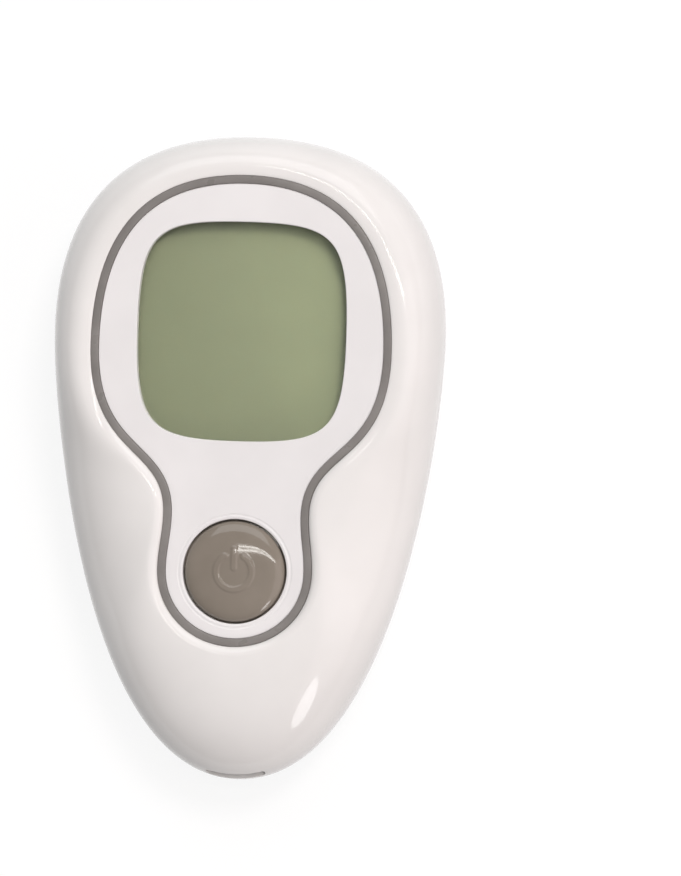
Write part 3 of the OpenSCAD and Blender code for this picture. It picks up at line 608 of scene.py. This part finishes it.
def makeCaseFront():
    look, small = frontLook, frontLook["parting"]
    bend = small * look["partingBend"]
    edge, lip, foot = caseSide(0), keySide(look["lipOut"]), keySide(look["lipIn"])
    swells = [swellShare(p, q) for p, q in zip(edge, keySide(0))]
    crests = [look["lipLow"] + (look["crest"] - look["lipLow"]) * s for s in swells]
    under = ledgeZ - look["ledgeThickness"]
    ceilings = [under + (look["crest"] - look["wall"] - under) * s for s in swells]
    cuts = [90 - (90 - look["cutAt"]) * s for s in swells]
    loops = [wholeLoop(caseSide(-small), jointZ), wholeLoop(caseSide(-bend), jointZ + bend),
             wholeLoop(edge, jointZ + small)]
    loops += [domeLoop(edge, lip, crests, cuts, part) for part in look["outerParts"]]
    for a in quarter(look["lipSteps"])[1:]:
        places = [p.lerp(q, math.sin(a)) for p, q in zip(lip, foot)]
        drop = 1 - math.cos(a)
        loops.append(wholeLoop(places, [top - (top - look["lipFoot"]) * drop for top in crests]))
    loops += [wholeLoop(foot, ledgeZ), wholeLoop(keySide(-look["ledgeInner"]), ledgeZ),
              wholeLoop(keySide(-look["ledgeInner"]), under)]
    wallSide = caseSide(-look["wall"])
    loops += [domeLoop(wallSide, keySide(look["innerGap"]), ceilings, cuts, part)
              for part in look["innerParts"]]
    half = look["wall"] / 2 + look["tongueGap"]
    loops += [wholeLoop(wallSide, shellLow.z), wholeLoop(caseSide(-half), shellLow.z),
              wholeLoop(caseSide(-half), jointZ)]
    bm = bmesh.new()
    loft(bm, loops, closed=True)
    return makePiece("caseFront", bm)


portLook = {
    "width": 8.0, "height": 1.5, "z": boardTop + 1.3,
    "mouth": 0.4, "mouthDepth": 1.05, "mouthSteps": 6, "round": 0.5,
    "from": 4.0, "to": -3.0,  # the cutter's ends, measured in from the tip
}


# slot in the tip, with a rounded mouth that leads the strip in
def cutStripPort(piece):
    look = portLook
    rows = [(0, look["from"])]
    rows += [(look["mouth"] * (1 - math.cos(a)), look["mouthDepth"] * (1 - math.sin(a)))
             for a in quarter(look["mouthSteps"])[:-1]]
    rows.append((look["mouth"], look["to"]))
    bm = bmesh.new()
    loops = []
    for gap, depth in rows:
        flat = roundedLoop((0, 0), look["width"] + 2 * gap, look["height"] + 2 * gap,
                           look["round"] + gap, 0)
        loops.append([Vector((p.x, -caseY + depth, look["z"] + p.y)) for p in flat])
    loft(bm, loops)
    carve(piece, makePiece("portCutter", bm), "DIFFERENCE")


caseFront = makeCaseFront()
cutStripPort(caseFront)
tidyShading(caseFront)
seat(caseFront, "glossWhiteAbs", "meter", "case_white", "front_shell")


# back half of the case
backLook = {
    "wall": 1.8, "flatFrom": 8.0, "bandIn": 1.2,
    "towerWidth": 5.4, "towerSink": 0.4, "towerGap": 0.06,  # into the wall, and below the board's top
    "headHeight": 1.3, "headHole": 4.2, "shankHole": 2.4, "holeRound": 0.25,
    "holeSteps": 5, "doorGap": 0.15, "doorCorner": 4.0, "doorRound": 0.25,
    "soundWidth": 0.9, "soundLength": 6.0, "soundPitch": 2.4, "soundRound": 0.2,
    "outerParts": [0.97, 0.94, 0.9] + [0.85 - 0.05 * i for i in range(14)] + [0.14, 0.08, 0.03],
    "innerParts": (0.22, 0.39, 0.56, 0.72, 0.89, 1),
}
screwLow = boxInMm("case_screws")[0]
cellLow, cellHigh = boxInMm("coin_cell")
buzzerLow, buzzerHigh = boxInMm("buzzer")
doorY = (cellLow.y + cellHigh.y) / 2
doorWidth, doorLength = 2 * doorHigh.x, 2 * (doorHigh.y - doorY)


# middle of each screw, from the ends of the shanks in their node
def screwPlaces(node):
    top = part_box(node)[1].z
    level, apart = 0.01, 3  # millimetres: how near the top a shank's end lies, and one screw's reach
    groups = []
    for v in nodes[node].data.vertices:
        if v.co.z > top - level * mm:
            near = [group for group in groups if (group[0] - v.co).length < apart * mm]
            if near:
                near[0].append(v.co)
            else:
                groups.append([v.co])
    return [sum(group, Vector()) / len(group) / mm for group in groups]


def towardFlat(side):
    return [p + (eye - p).normalized() * backLook["flatFrom"] for p in side]


def makeCaseBack():
    look, small = backLook, frontLook["parting"]
    bend = small * frontLook["partingBend"]
    edge, wallSide = caseSide(0), caseSide(-look["wall"])
    flat = towardFlat(edge)
    band = [p + (eye - p).normalized() * look["bandIn"] for p in flat]
    tongueTop = jointZ - frontLook["tongue"] - frontLook["tongueGap"]
    loops = [wholeLoop(band, 0), wholeLoop(flat, 0)]
    for part in look["outerParts"]:
        loops.append(wholeLoop([p.lerp(q, inward(part, 90)) for p, q in zip(edge, flat)],
                               jointZ * (1 - upward(part, 90))))
    loops += [wholeLoop(edge, jointZ - small), wholeLoop(caseSide(-bend), jointZ - bend),
              wholeLoop(caseSide(-small), jointZ), wholeLoop(caseSide(-look["wall"] / 2), jointZ),
              wholeLoop(caseSide(-look["wall"] / 2), tongueTop), wholeLoop(wallSide, tongueTop)]
    for part in look["innerParts"]:
        loops.append(wholeLoop([p.lerp(q, inward(part, 90)) for p, q in zip(wallSide, flat)],
                               jointZ - (jointZ - look["wall"]) * upward(part, 90)))
    bm = bmesh.new()
    loft(bm, loops)
    return makePiece("caseBack", bm)


def pierceCaseBack(piece):
    look = backLook
    towerTop = boardTop - look["towerGap"]
    bm = bmesh.new()
    for m in screwPlaces("case_screws"):
        loft(bm, [roundedLoop(m, look["towerWidth"], look["towerWidth"], look["towerWidth"] / 2, z)
                  for z in (look["wall"] - look["towerSink"], towerTop)])
    carve(piece, makePiece("towers", bm), "UNION")
    bm = bmesh.new()
    for m in screwPlaces("case_screws"):
        seatZ = screwLow.z + look["headHeight"]
        rows = [(look["shankHole"], towerTop + past), (look["shankHole"], seatZ), (look["headHole"], seatZ)]
        for a in quarter(look["holeSteps"])[:-1]:
            rows.append((look["headHole"] + 2 * look["holeRound"] * (1 - math.cos(a)),
                         look["holeRound"] * (1 - math.sin(a))))
        rows.append((look["headHole"] + 2 * look["holeRound"], -past))
        loft(bm, [roundedLoop(m, d, d, d / 2, z) for d, z in rows])
    for i in (-1, 0, 1):
        middle = (i * look["soundPitch"], (buzzerLow.y + buzzerHigh.y) / 2)
        flare(bm, lambda g, z: slotLoop(middle, look["soundWidth"], look["soundLength"], g, z),
              0, look["wall"] + past, look["soundRound"], top=False)
    gap = 2 * look["doorGap"]
    flare(bm, lambda g, z: roundedLoop((0, doorY), doorWidth + gap + 2 * g, doorLength + gap + 2 * g,
                                       look["doorCorner"] + look["doorGap"] + g, z),
          0, look["wall"] + past, look["doorRound"], top=False)
    carve(piece, makePiece("backCutters", bm), "DIFFERENCE")


caseBack = makeCaseBack()
pierceCaseBack(caseBack)
tidyShading(caseBack)
seat(caseBack, "glossWhiteAbs", "meter", "case_white", "back_shell")


# battery door
doorLook = {
    "corner": 4.0, "cornerSteps": 12, "round": 0.3, "roundSteps": 6,
    "thickness": 1.4, "bevel": 0.15, "capInset": 1.5,
    "slotX": 5.0, "slotWidth": 0.8, "slotLength": 4.0,
    "gripWidth": 6.4, "gripLength": 0.6, "gripDepth": 0.3, "gripRound": 0.1,
    "gripStep": 1.2, "gripFrom": 2.4, "grips": 4,
    "tongueX": 7.0, "tongueWidth": 3.0, "tongueThickness": 0.8, "tongueReach": 1.6,
    "tongueRoot": 1.5, "tongueSink": 0.4, "tongueBevel": 0.2,
}


def makeBatteryDoor():
    look = doorLook
    face, top = doorLow.z, doorLow.z + look["thickness"]
    rows = [(-look["capInset"], face)]
    rows += [(-look["round"] * (1 - math.sin(a)), face + look["round"] * (1 - math.cos(a)))
             for a in quarter(look["roundSteps"])]
    rows += [(0, top - look["bevel"]), (-look["bevel"], top), (-look["capInset"], top)]
    bm = bmesh.new()
    loft(bm, [roundedLoop((0, doorY), doorWidth + 2 * g, doorLength + 2 * g, look["corner"] + g, z,
                          look["cornerSteps"]) for g, z in rows])
    door = makePiece("batteryDoor", bm)
    edge, bevel, crown = doorY - doorLength / 2, look["tongueBevel"], doorHigh.z
    root, sunk = edge + look["tongueRoot"], top - look["tongueSink"]
    tip, under = edge - look["tongueReach"], crown - look["tongueThickness"]
    # side view of a tongue, which hooks over the floor's edge
    hook = [(root, sunk), (edge, sunk), (edge, under), (tip + bevel, under), (tip, under + bevel),
            (tip, crown - bevel), (tip + bevel, crown), (root - bevel, crown), (root, crown - bevel)]
    bm = bmesh.new()
    for side in (-1, 1):
        loft(bm, [[Vector((side * look["tongueX"] + x, y, z)) for y, z in hook]
                  for x in (-look["tongueWidth"] / 2, look["tongueWidth"] / 2)])
    carve(door, makePiece("tongues", bm), "UNION")
    far = doorY + doorLength / 2
    bm = bmesh.new()
    for side in (-1, 1):  # slots that free the latch between them
        middle = (side * look["slotX"], far - look["slotLength"] / 2 + past)
        loft(bm, [slotLoop(middle, look["slotWidth"], look["slotLength"] + 2 * past, 0, z)
                  for z in (face - past, top + past)])
    for i in range(look["grips"]):
        middle = (0, far - look["gripFrom"] - look["gripStep"] * i)
        width, length = (look[side] - 2 * look["gripRound"] for side in ("gripWidth", "gripLength"))
        flare(bm, lambda g, z: slotLoop(middle, width, length, g, z),
              face, face + look["gripDepth"], look["gripRound"], top=False)
    carve(door, makePiece("doorCutters", bm), "DIFFERENCE")
    return door


batteryDoor = makeBatteryDoor()
tidyShading(batteryDoor)
seat(batteryDoor, "glossWhiteAbs", "door", "case_white", "battery_door")


# trim ring
ringLook = {
    "width": 1.05, "round": 0.08, "roundSteps": 5,
    "crown": 0.02, "crownSteps": 6, "sharpFrom": 50,
}


def makeTrimRing():
    look = ringLook
    top, w, r = ringHigh.z, look["width"], look["round"]
    rows = [(0, ringLow.z), (0, top - look["crown"] - r)]
    turns = quarter(look["roundSteps"])
    rows += [(-r * (1 - math.cos(a)), top - look["crown"] - r * (1 - math.sin(a))) for a in turns[1:]]
    for i in range(1, look["crownSteps"]):  # low crown between the rounds
        share = i / look["crownSteps"]
        rows.append((-r - (w - 2 * r) * share, top - look["crown"] * (2 * share - 1) ** 2))
    rows += [(-w + r * (1 - math.sin(a)), top - look["crown"] - r * (1 - math.cos(a))) for a in turns]
    rows.append((-w, ringLow.z))
    bm = bmesh.new()
    loft(bm, [wholeLoop(keySide(gap), z) for gap, z in rows], closed=True)
    return makePiece("trimRing", bm, look["sharpFrom"])


trimRing = makeTrimRing()
seat(trimRing, "greyAbsBead", "meter", "trim_grey", "trim_ring")


# face panel
panelLook = {
    "gap": 0.03, "round": 0.08, "roundSteps": 4, "windowRound": 0.16,
    "lowInset": 0.8, "topInset": 0.6,  # rows inside the edge that keep its faces narrow
    "rimWidth": 0.36, "rimDepth": 0.14, "rimSteps": 7,  # the button's hole rolls over into the panel
    "grooveAt": 7.55, "grooveBall": 0.5, "grooveDepth": 0.05,  # fine groove around the hole
    "grooveSteps": 36, "circleSteps": 32,  # circleSteps for each quarter turn
}
panelLow, panelHigh = boxInMm("face_panel")
capRadius = curveSizes["capRadius"]


# around the middle of the button
def circleLoop(radius, z):
    return roundedLoop((0, buttonY), 2 * radius, 2 * radius, radius, z, panelLook["circleSteps"])


def makeFacePanel():
    look = panelLook
    top, gap, r = panelHigh.z, -ringLook["width"] - look["gap"], look["round"]
    rows = [(gap - look["lowInset"], panelLow.z), (gap, panelLow.z)]
    rows += [(gap - r * (1 - math.cos(a)), top - r * (1 - math.sin(a)))
             for a in quarter(look["roundSteps"])]
    rows.append((gap - r - look["topInset"], top))
    bm = bmesh.new()
    loft(bm, [wholeLoop(keySide(g), z) for g, z in rows])
    panel = makePiece("facePanel", bm)
    bm = bmesh.new()
    flare(bm, lambda g, z: wholeLoop(windowSide(g), z), panelLow.z - past, top, look["windowRound"])
    hole = capRadius + curveSizes["buttonGap"]
    rows = [(hole, panelLow.z - past)]  # bore, then an elliptic rim that catches the light
    rows += [(hole + look["rimWidth"] * (1 - math.cos(a)), top - look["rimDepth"] * (1 - math.sin(a)))
             for a in quarter(look["rimSteps"])[:-1]]
    rows.append((hole + look["rimWidth"], top + past))
    loft(bm, [circleLoop(r, z) for r, z in rows])
    ball, turns = look["grooveBall"], look["grooveSteps"]
    rows = [(look["grooveAt"] + ball * math.cos(a), top - look["grooveDepth"] + ball * (1 + math.sin(a)))
            for a in [math.radians(360 * i / turns) for i in range(turns)]]
    loft(bm, [circleLoop(r, z) for r, z in rows], closed=True)
    carve(panel, makePiece("panelCutters", bm), "DIFFERENCE")
    return panel


facePanel = makeFacePanel()
tidyShading(facePanel)
seat(facePanel, "satinWhiteAbs", "meter", "panel_white", "face_panel")


# button
capLook = {
    "flatRadius": 6.3, "edgeTop": 18.3, "dome": 0.75, "ball": 40, "roll": 12,
    "flangeLift": 0.74, "flangeHeight": 0.8, "flangeBevel": 0.1,
    "turns": 192, "edgeSteps": 8,
    "outerPitch": 0.1, "outerRows": 29,  # circles outside the mark
    "markFrom": 3.4, "markPitch": 0.08, "markRows": 42,  # finer ones that carry it
    "markRadius": 2.4, "markOpening": 32, "barTop": 3.0, "barLow": 0.5,
    "markHeight": 0.1, "markHalf": 0.2, "markFlank": 0.36,  # half its level top, and its slope's width
}


# from the middle line of the open ring and the upright bar, in millimetres
def distanceToMark(x, y):
    look = capLook
    turn, r = math.atan2(x, y), math.hypot(x, y)
    opening = math.radians(look["markOpening"])
    if abs(turn) > opening:
        ring = abs(r - look["markRadius"])
    else:
        end = Vector((math.copysign(math.sin(opening), x), math.cos(opening))) * look["markRadius"]
        ring = (Vector((x, y)) - end).length
    bar = math.hypot(x, y - min(max(y, look["barLow"]), look["barTop"]))
    return min(ring, bar)


def capHeight(r):
    look = capLook
    rolled = look["dome"] - look["flatRadius"] ** 2 / (2 * look["ball"])
    return (look["edgeTop"] + look["dome"] - r * r / (2 * look["ball"])
            - rolled * (r / look["flatRadius"]) ** look["roll"])


def makeButtonCap():
    look = capLook
    r, edge = look["flatRadius"], look["edgeTop"]
    step = 0.001
    slope = math.atan((capHeight(r - step) - capHeight(r)) / step)
    corner = (capRadius - r) / (1 - math.sin(slope))
    bevel, flangeLow = look["flangeBevel"], capLow.z + look["flangeLift"]
    flangeTop = flangeLow + look["flangeHeight"]
    profile = [(0, flangeLow), (capHigh.x - bevel, flangeLow), (capHigh.x, flangeLow + bevel),
               (capHigh.x, flangeTop - bevel), (capHigh.x - bevel, flangeTop), (capRadius, flangeTop)]
    for i in range(look["edgeSteps"] + 1):  # round from the upright side to the slope of the dome
        a = (math.pi / 2 - slope) * i / look["edgeSteps"]
        profile.append((capRadius - corner * (1 - math.cos(a)),
                        edge + corner * (math.sin(a) - math.cos(slope))))
    radii = [r - look["outerPitch"] * (i + 1) for i in range(look["outerRows"])]
    radii += [look["markFrom"] - look["markPitch"] * i for i in range(look["markRows"])]
    profile += [(x, capHeight(x)) for x in radii] + [(0, capHeight(0))]
    bm = bmesh.new()
    verts = [bm.verts.new(Vector((x, buttonY, z)) * mm) for x, z in profile]
    edges = [bm.edges.new(pair) for pair in zip(verts, verts[1:])]
    bmesh.ops.spin(bm, geom=verts + edges, cent=Vector((0, buttonY, 0)) * mm, axis=(0, 0, 1),
                   angle=math.tau, steps=look["turns"], use_merge=True)
    bmesh.ops.remove_doubles(bm, verts=bm.verts, dist=0.001 * mm)
    for v in bm.verts:
        p = v.co / mm
        if p.z > edge:
            away = distanceToMark(p.x, p.y - buttonY) - look["markHalf"]
            x = min(max(1 - away / look["markFlank"], 0), 1)
            v.co.z += look["markHeight"] * x * x * (3 - 2 * x) * mm
    return makePiece("buttonCap", bm)


buttonCap = makeButtonCap()
seat(buttonCap, "taupeGlossAbs", "button", "button_taupe", "button_cap")


# finishes of the nodes that keep their own shape
keptFinishes = {
    "display_lens": "clearAcrylic", "display_gasket": "blackFoam", "front_polariser": "twistedNematicFilm",
    "front_glass": "floatGlass", "rear_glass": "floatGlass", "rear_reflector": "aluminisedFilm",
    "display_holder": "milkyPolystyrene", "zebra_strips": "layeredSilicone",
    "switch_housing": "blackNylon", "switch_cover": "rolledStainless", "switch_plunger": "mouldedEpoxy",
    "snap_dome": "rolledStainless", "main_board": "solderMask", "controller_chip": "mouldedEpoxy",
    "amplifier_chip": "mouldedEpoxy", "memory_chip": "mouldedEpoxy", "clock_crystal": "nickelSteel",
    "ceramic_capacitors": "firedCeramic", "chip_resistors": "glazedAlumina", "buzzer": "blackNylon",
    "strip_connector": "ivoryPbt", "strip_contacts": "goldPlate", "coin_cell": "nickelSteel",
    "battery_holder": "blackNylon", "positive_contact": "tinnedBronze", "negative_contact": "tinnedBronze",
    "case_screws": "zincSteel", "board_screws": "zincSteel",
}
for node, finish in keptFinishes.items():
    dress(nodes[node], finish)
print("kept nodes dressed,", len(keptFinishes))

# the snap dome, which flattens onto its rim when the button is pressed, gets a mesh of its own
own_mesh(nodes["snap_dome"])


# floor, lamps, camera
studio = {
    "floorSize": 6000, "worldLevel": 0.2,
    "floorColour": "#cccccc",
    "seenColour": "#707070", "seenGlow": 0.86,  # the same floor as the camera and reflections see it
}


def makeFloor():
    bm = bmesh.new()
    bmesh.ops.create_grid(bm, x_segments=1, y_segments=1, size=studio["floorSize"] / 2 * mm)
    floor = makePiece("floor", bm)
    floor.location.z = cadBox[0][2]
    material, tree, place = newMaterial("paperSweep")
    diffuse = addNode(tree, "ShaderNodeBsdfDiffuse", {"Color": colour(studio["floorColour"])})
    shaded = addNode(tree, "ShaderNodeBsdfDiffuse", {"Color": colour(studio["seenColour"])})
    glow = addNode(tree, "ShaderNodeEmission", {"Strength": studio["seenGlow"]})
    seen = addNode(tree, "ShaderNodeAddShader", links={0: shaded.outputs[0], 1: glow.outputs[0]})
    path = addNode(tree, "ShaderNodeLightPath")
    either = addNode(tree, "ShaderNodeMath", links={0: path.outputs["Is Camera Ray"],
                                                    1: path.outputs["Is Glossy Ray"]}, operation="MAXIMUM")
    whole = addNode(tree, "ShaderNodeMath", links={0: either.outputs[0],
                                                   1: path.outputs["Is Transmission Ray"]},
                    operation="MAXIMUM")
    finishMaterial(tree, addNode(tree, "ShaderNodeMixShader",
                                 links={0: whole.outputs[0], 1: diffuse.outputs[0], 2: seen.outputs[0]}))
    floor.data.materials.append(material)


def makeWorld():
    world = bpy.data.worlds.new("studio")
    world.use_nodes = True
    tree = world.node_tree
    tree.nodes.clear()
    dim = addNode(tree, "ShaderNodeBackground",
                  {"Color": colour("#ffffff"), "Strength": studio["worldLevel"]})
    white = addNode(tree, "ShaderNodeBackground", {"Color": colour("#ffffff"), "Strength": 1.0})
    path = addNode(tree, "ShaderNodeLightPath")
    mix = addNode(tree, "ShaderNodeMixShader",
                  links={0: path.outputs["Is Camera Ray"], 1: dim.outputs[0], 2: white.outputs[0]})
    addNode(tree, "ShaderNodeOutputWorld", links={"Surface": mix.outputs[0]})
    scene.world = world


def makeLamp(name, tint, watts, size, place, aim, shape="RECTANGLE", mirrored=True):
    light = bpy.data.lights.new(name, "AREA")
    light.shape = shape
    light.size, light.size_y = size[0] * mm, size[1] * mm
    light.energy = watts
    light.color = colour(tint)[:3]
    lamp = bpy.data.objects.new(name, light)
    lamp.visible_glossy = mirrored
    scene.collection.objects.link(lamp)
    back = (Vector(place) - Vector(aim)).normalized()
    along = (Vector((1, 0, 0)) - back * back.x).normalized()  # the first size runs along X
    turn = Matrix((along, back.cross(along), back)).transposed()
    lamp.matrix_world = Matrix.Translation(Vector(place) * mm) @ turn.to_4x4()
    return lamp


lampLooks = {
    # twin tubes almost overhead: the paired lines in the button
    "tubeNear": {"tint": "#fffdf8", "watts": 1.0, "size": (905, 20), "place": (247, 184, 1488)},
    "tubeFar": {"tint": "#fffdf8", "watts": 1.0, "size": (905, 20), "place": (247, 224, 1483)},
    # small panel toward the upper right: the key, which shades the display under the face
    # panel's edge, and is kept out of the gloss
    "keyPanel": {"tint": "#fff6f4", "watts": 12.1, "size": (420, 420), "place": (540, 700, 1570),
                 "mirrored": False},
    # large soft wall behind the head
    "wallFar": {"tint": "#fafdff", "watts": 12.6, "size": (1800, 1400), "place": (0, 1273, 1273)},
    # window on the right: a broad soft reflection along the right flank
    "windowRight": {"tint": "#ffeeee", "watts": 5.8, "size": (1500, 1660), "place": (1197, -361, 998)},
    # small window behind the viewer: the bright lozenge by the tip
    "paneLow": {"tint": "#ffffff", "watts": 2.6, "size": (330, 600), "place": (721, -962, 720),
                "shape": "ELLIPSE"},
}

cameraLook = {
    "distance": 1400, "leanRight": 7.33, "leanUp": 0.0, "roll": 1.65,
    "aim": (0, 0, 12), "aimPixel": (243.9, 458.2),  # where the aim lies in the 681 x 876 picture
    "frame": (681, 876), "pixelsPerRadian": 10475, "sensor": 24,
}


def makeCamera():
    look = cameraLook
    right, up = math.radians(look["leanRight"]), math.radians(look["leanUp"])
    back = Vector((math.sin(right), math.sin(up), 0))
    back.z = math.sqrt(1 - back.length_squared)
    across = Vector((0, 1, 0)).cross(back).normalized()
    upright = back.cross(across)
    roll = math.radians(look["roll"])
    across, upright = (across * math.cos(roll) + upright * math.sin(roll),
                       upright * math.cos(roll) - across * math.sin(roll))
    perPixel = look["distance"] / look["pixelsPerRadian"]
    aside = (look["frame"][0] / 2 - look["aimPixel"][0]) * perPixel
    above = (look["aimPixel"][1] - look["frame"][1] / 2) * perPixel
    data = bpy.data.cameras.new("camera")
    data.sensor_fit = "VERTICAL"
    data.sensor_height = look["sensor"]
    data.lens = look["pixelsPerRadian"] * look["sensor"] / look["frame"][1]
    data.clip_end = 100
    camera = bpy.data.objects.new("camera", data)
    scene.collection.objects.link(camera)
    place = Vector(look["aim"]) + back * look["distance"] + across * aside + upright * above
    turn = Matrix((across, upright, back)).transposed()
    camera.matrix_world = Matrix.Translation(place * mm) @ turn.to_4x4()
    scene.camera = camera


makeFloor()
makeWorld()
for name, look in lampLooks.items():
    makeLamp(name, aim=cameraLook["aim"], **look)
makeCamera()
scene.view_settings.view_transform = "Standard"
print("studio made")
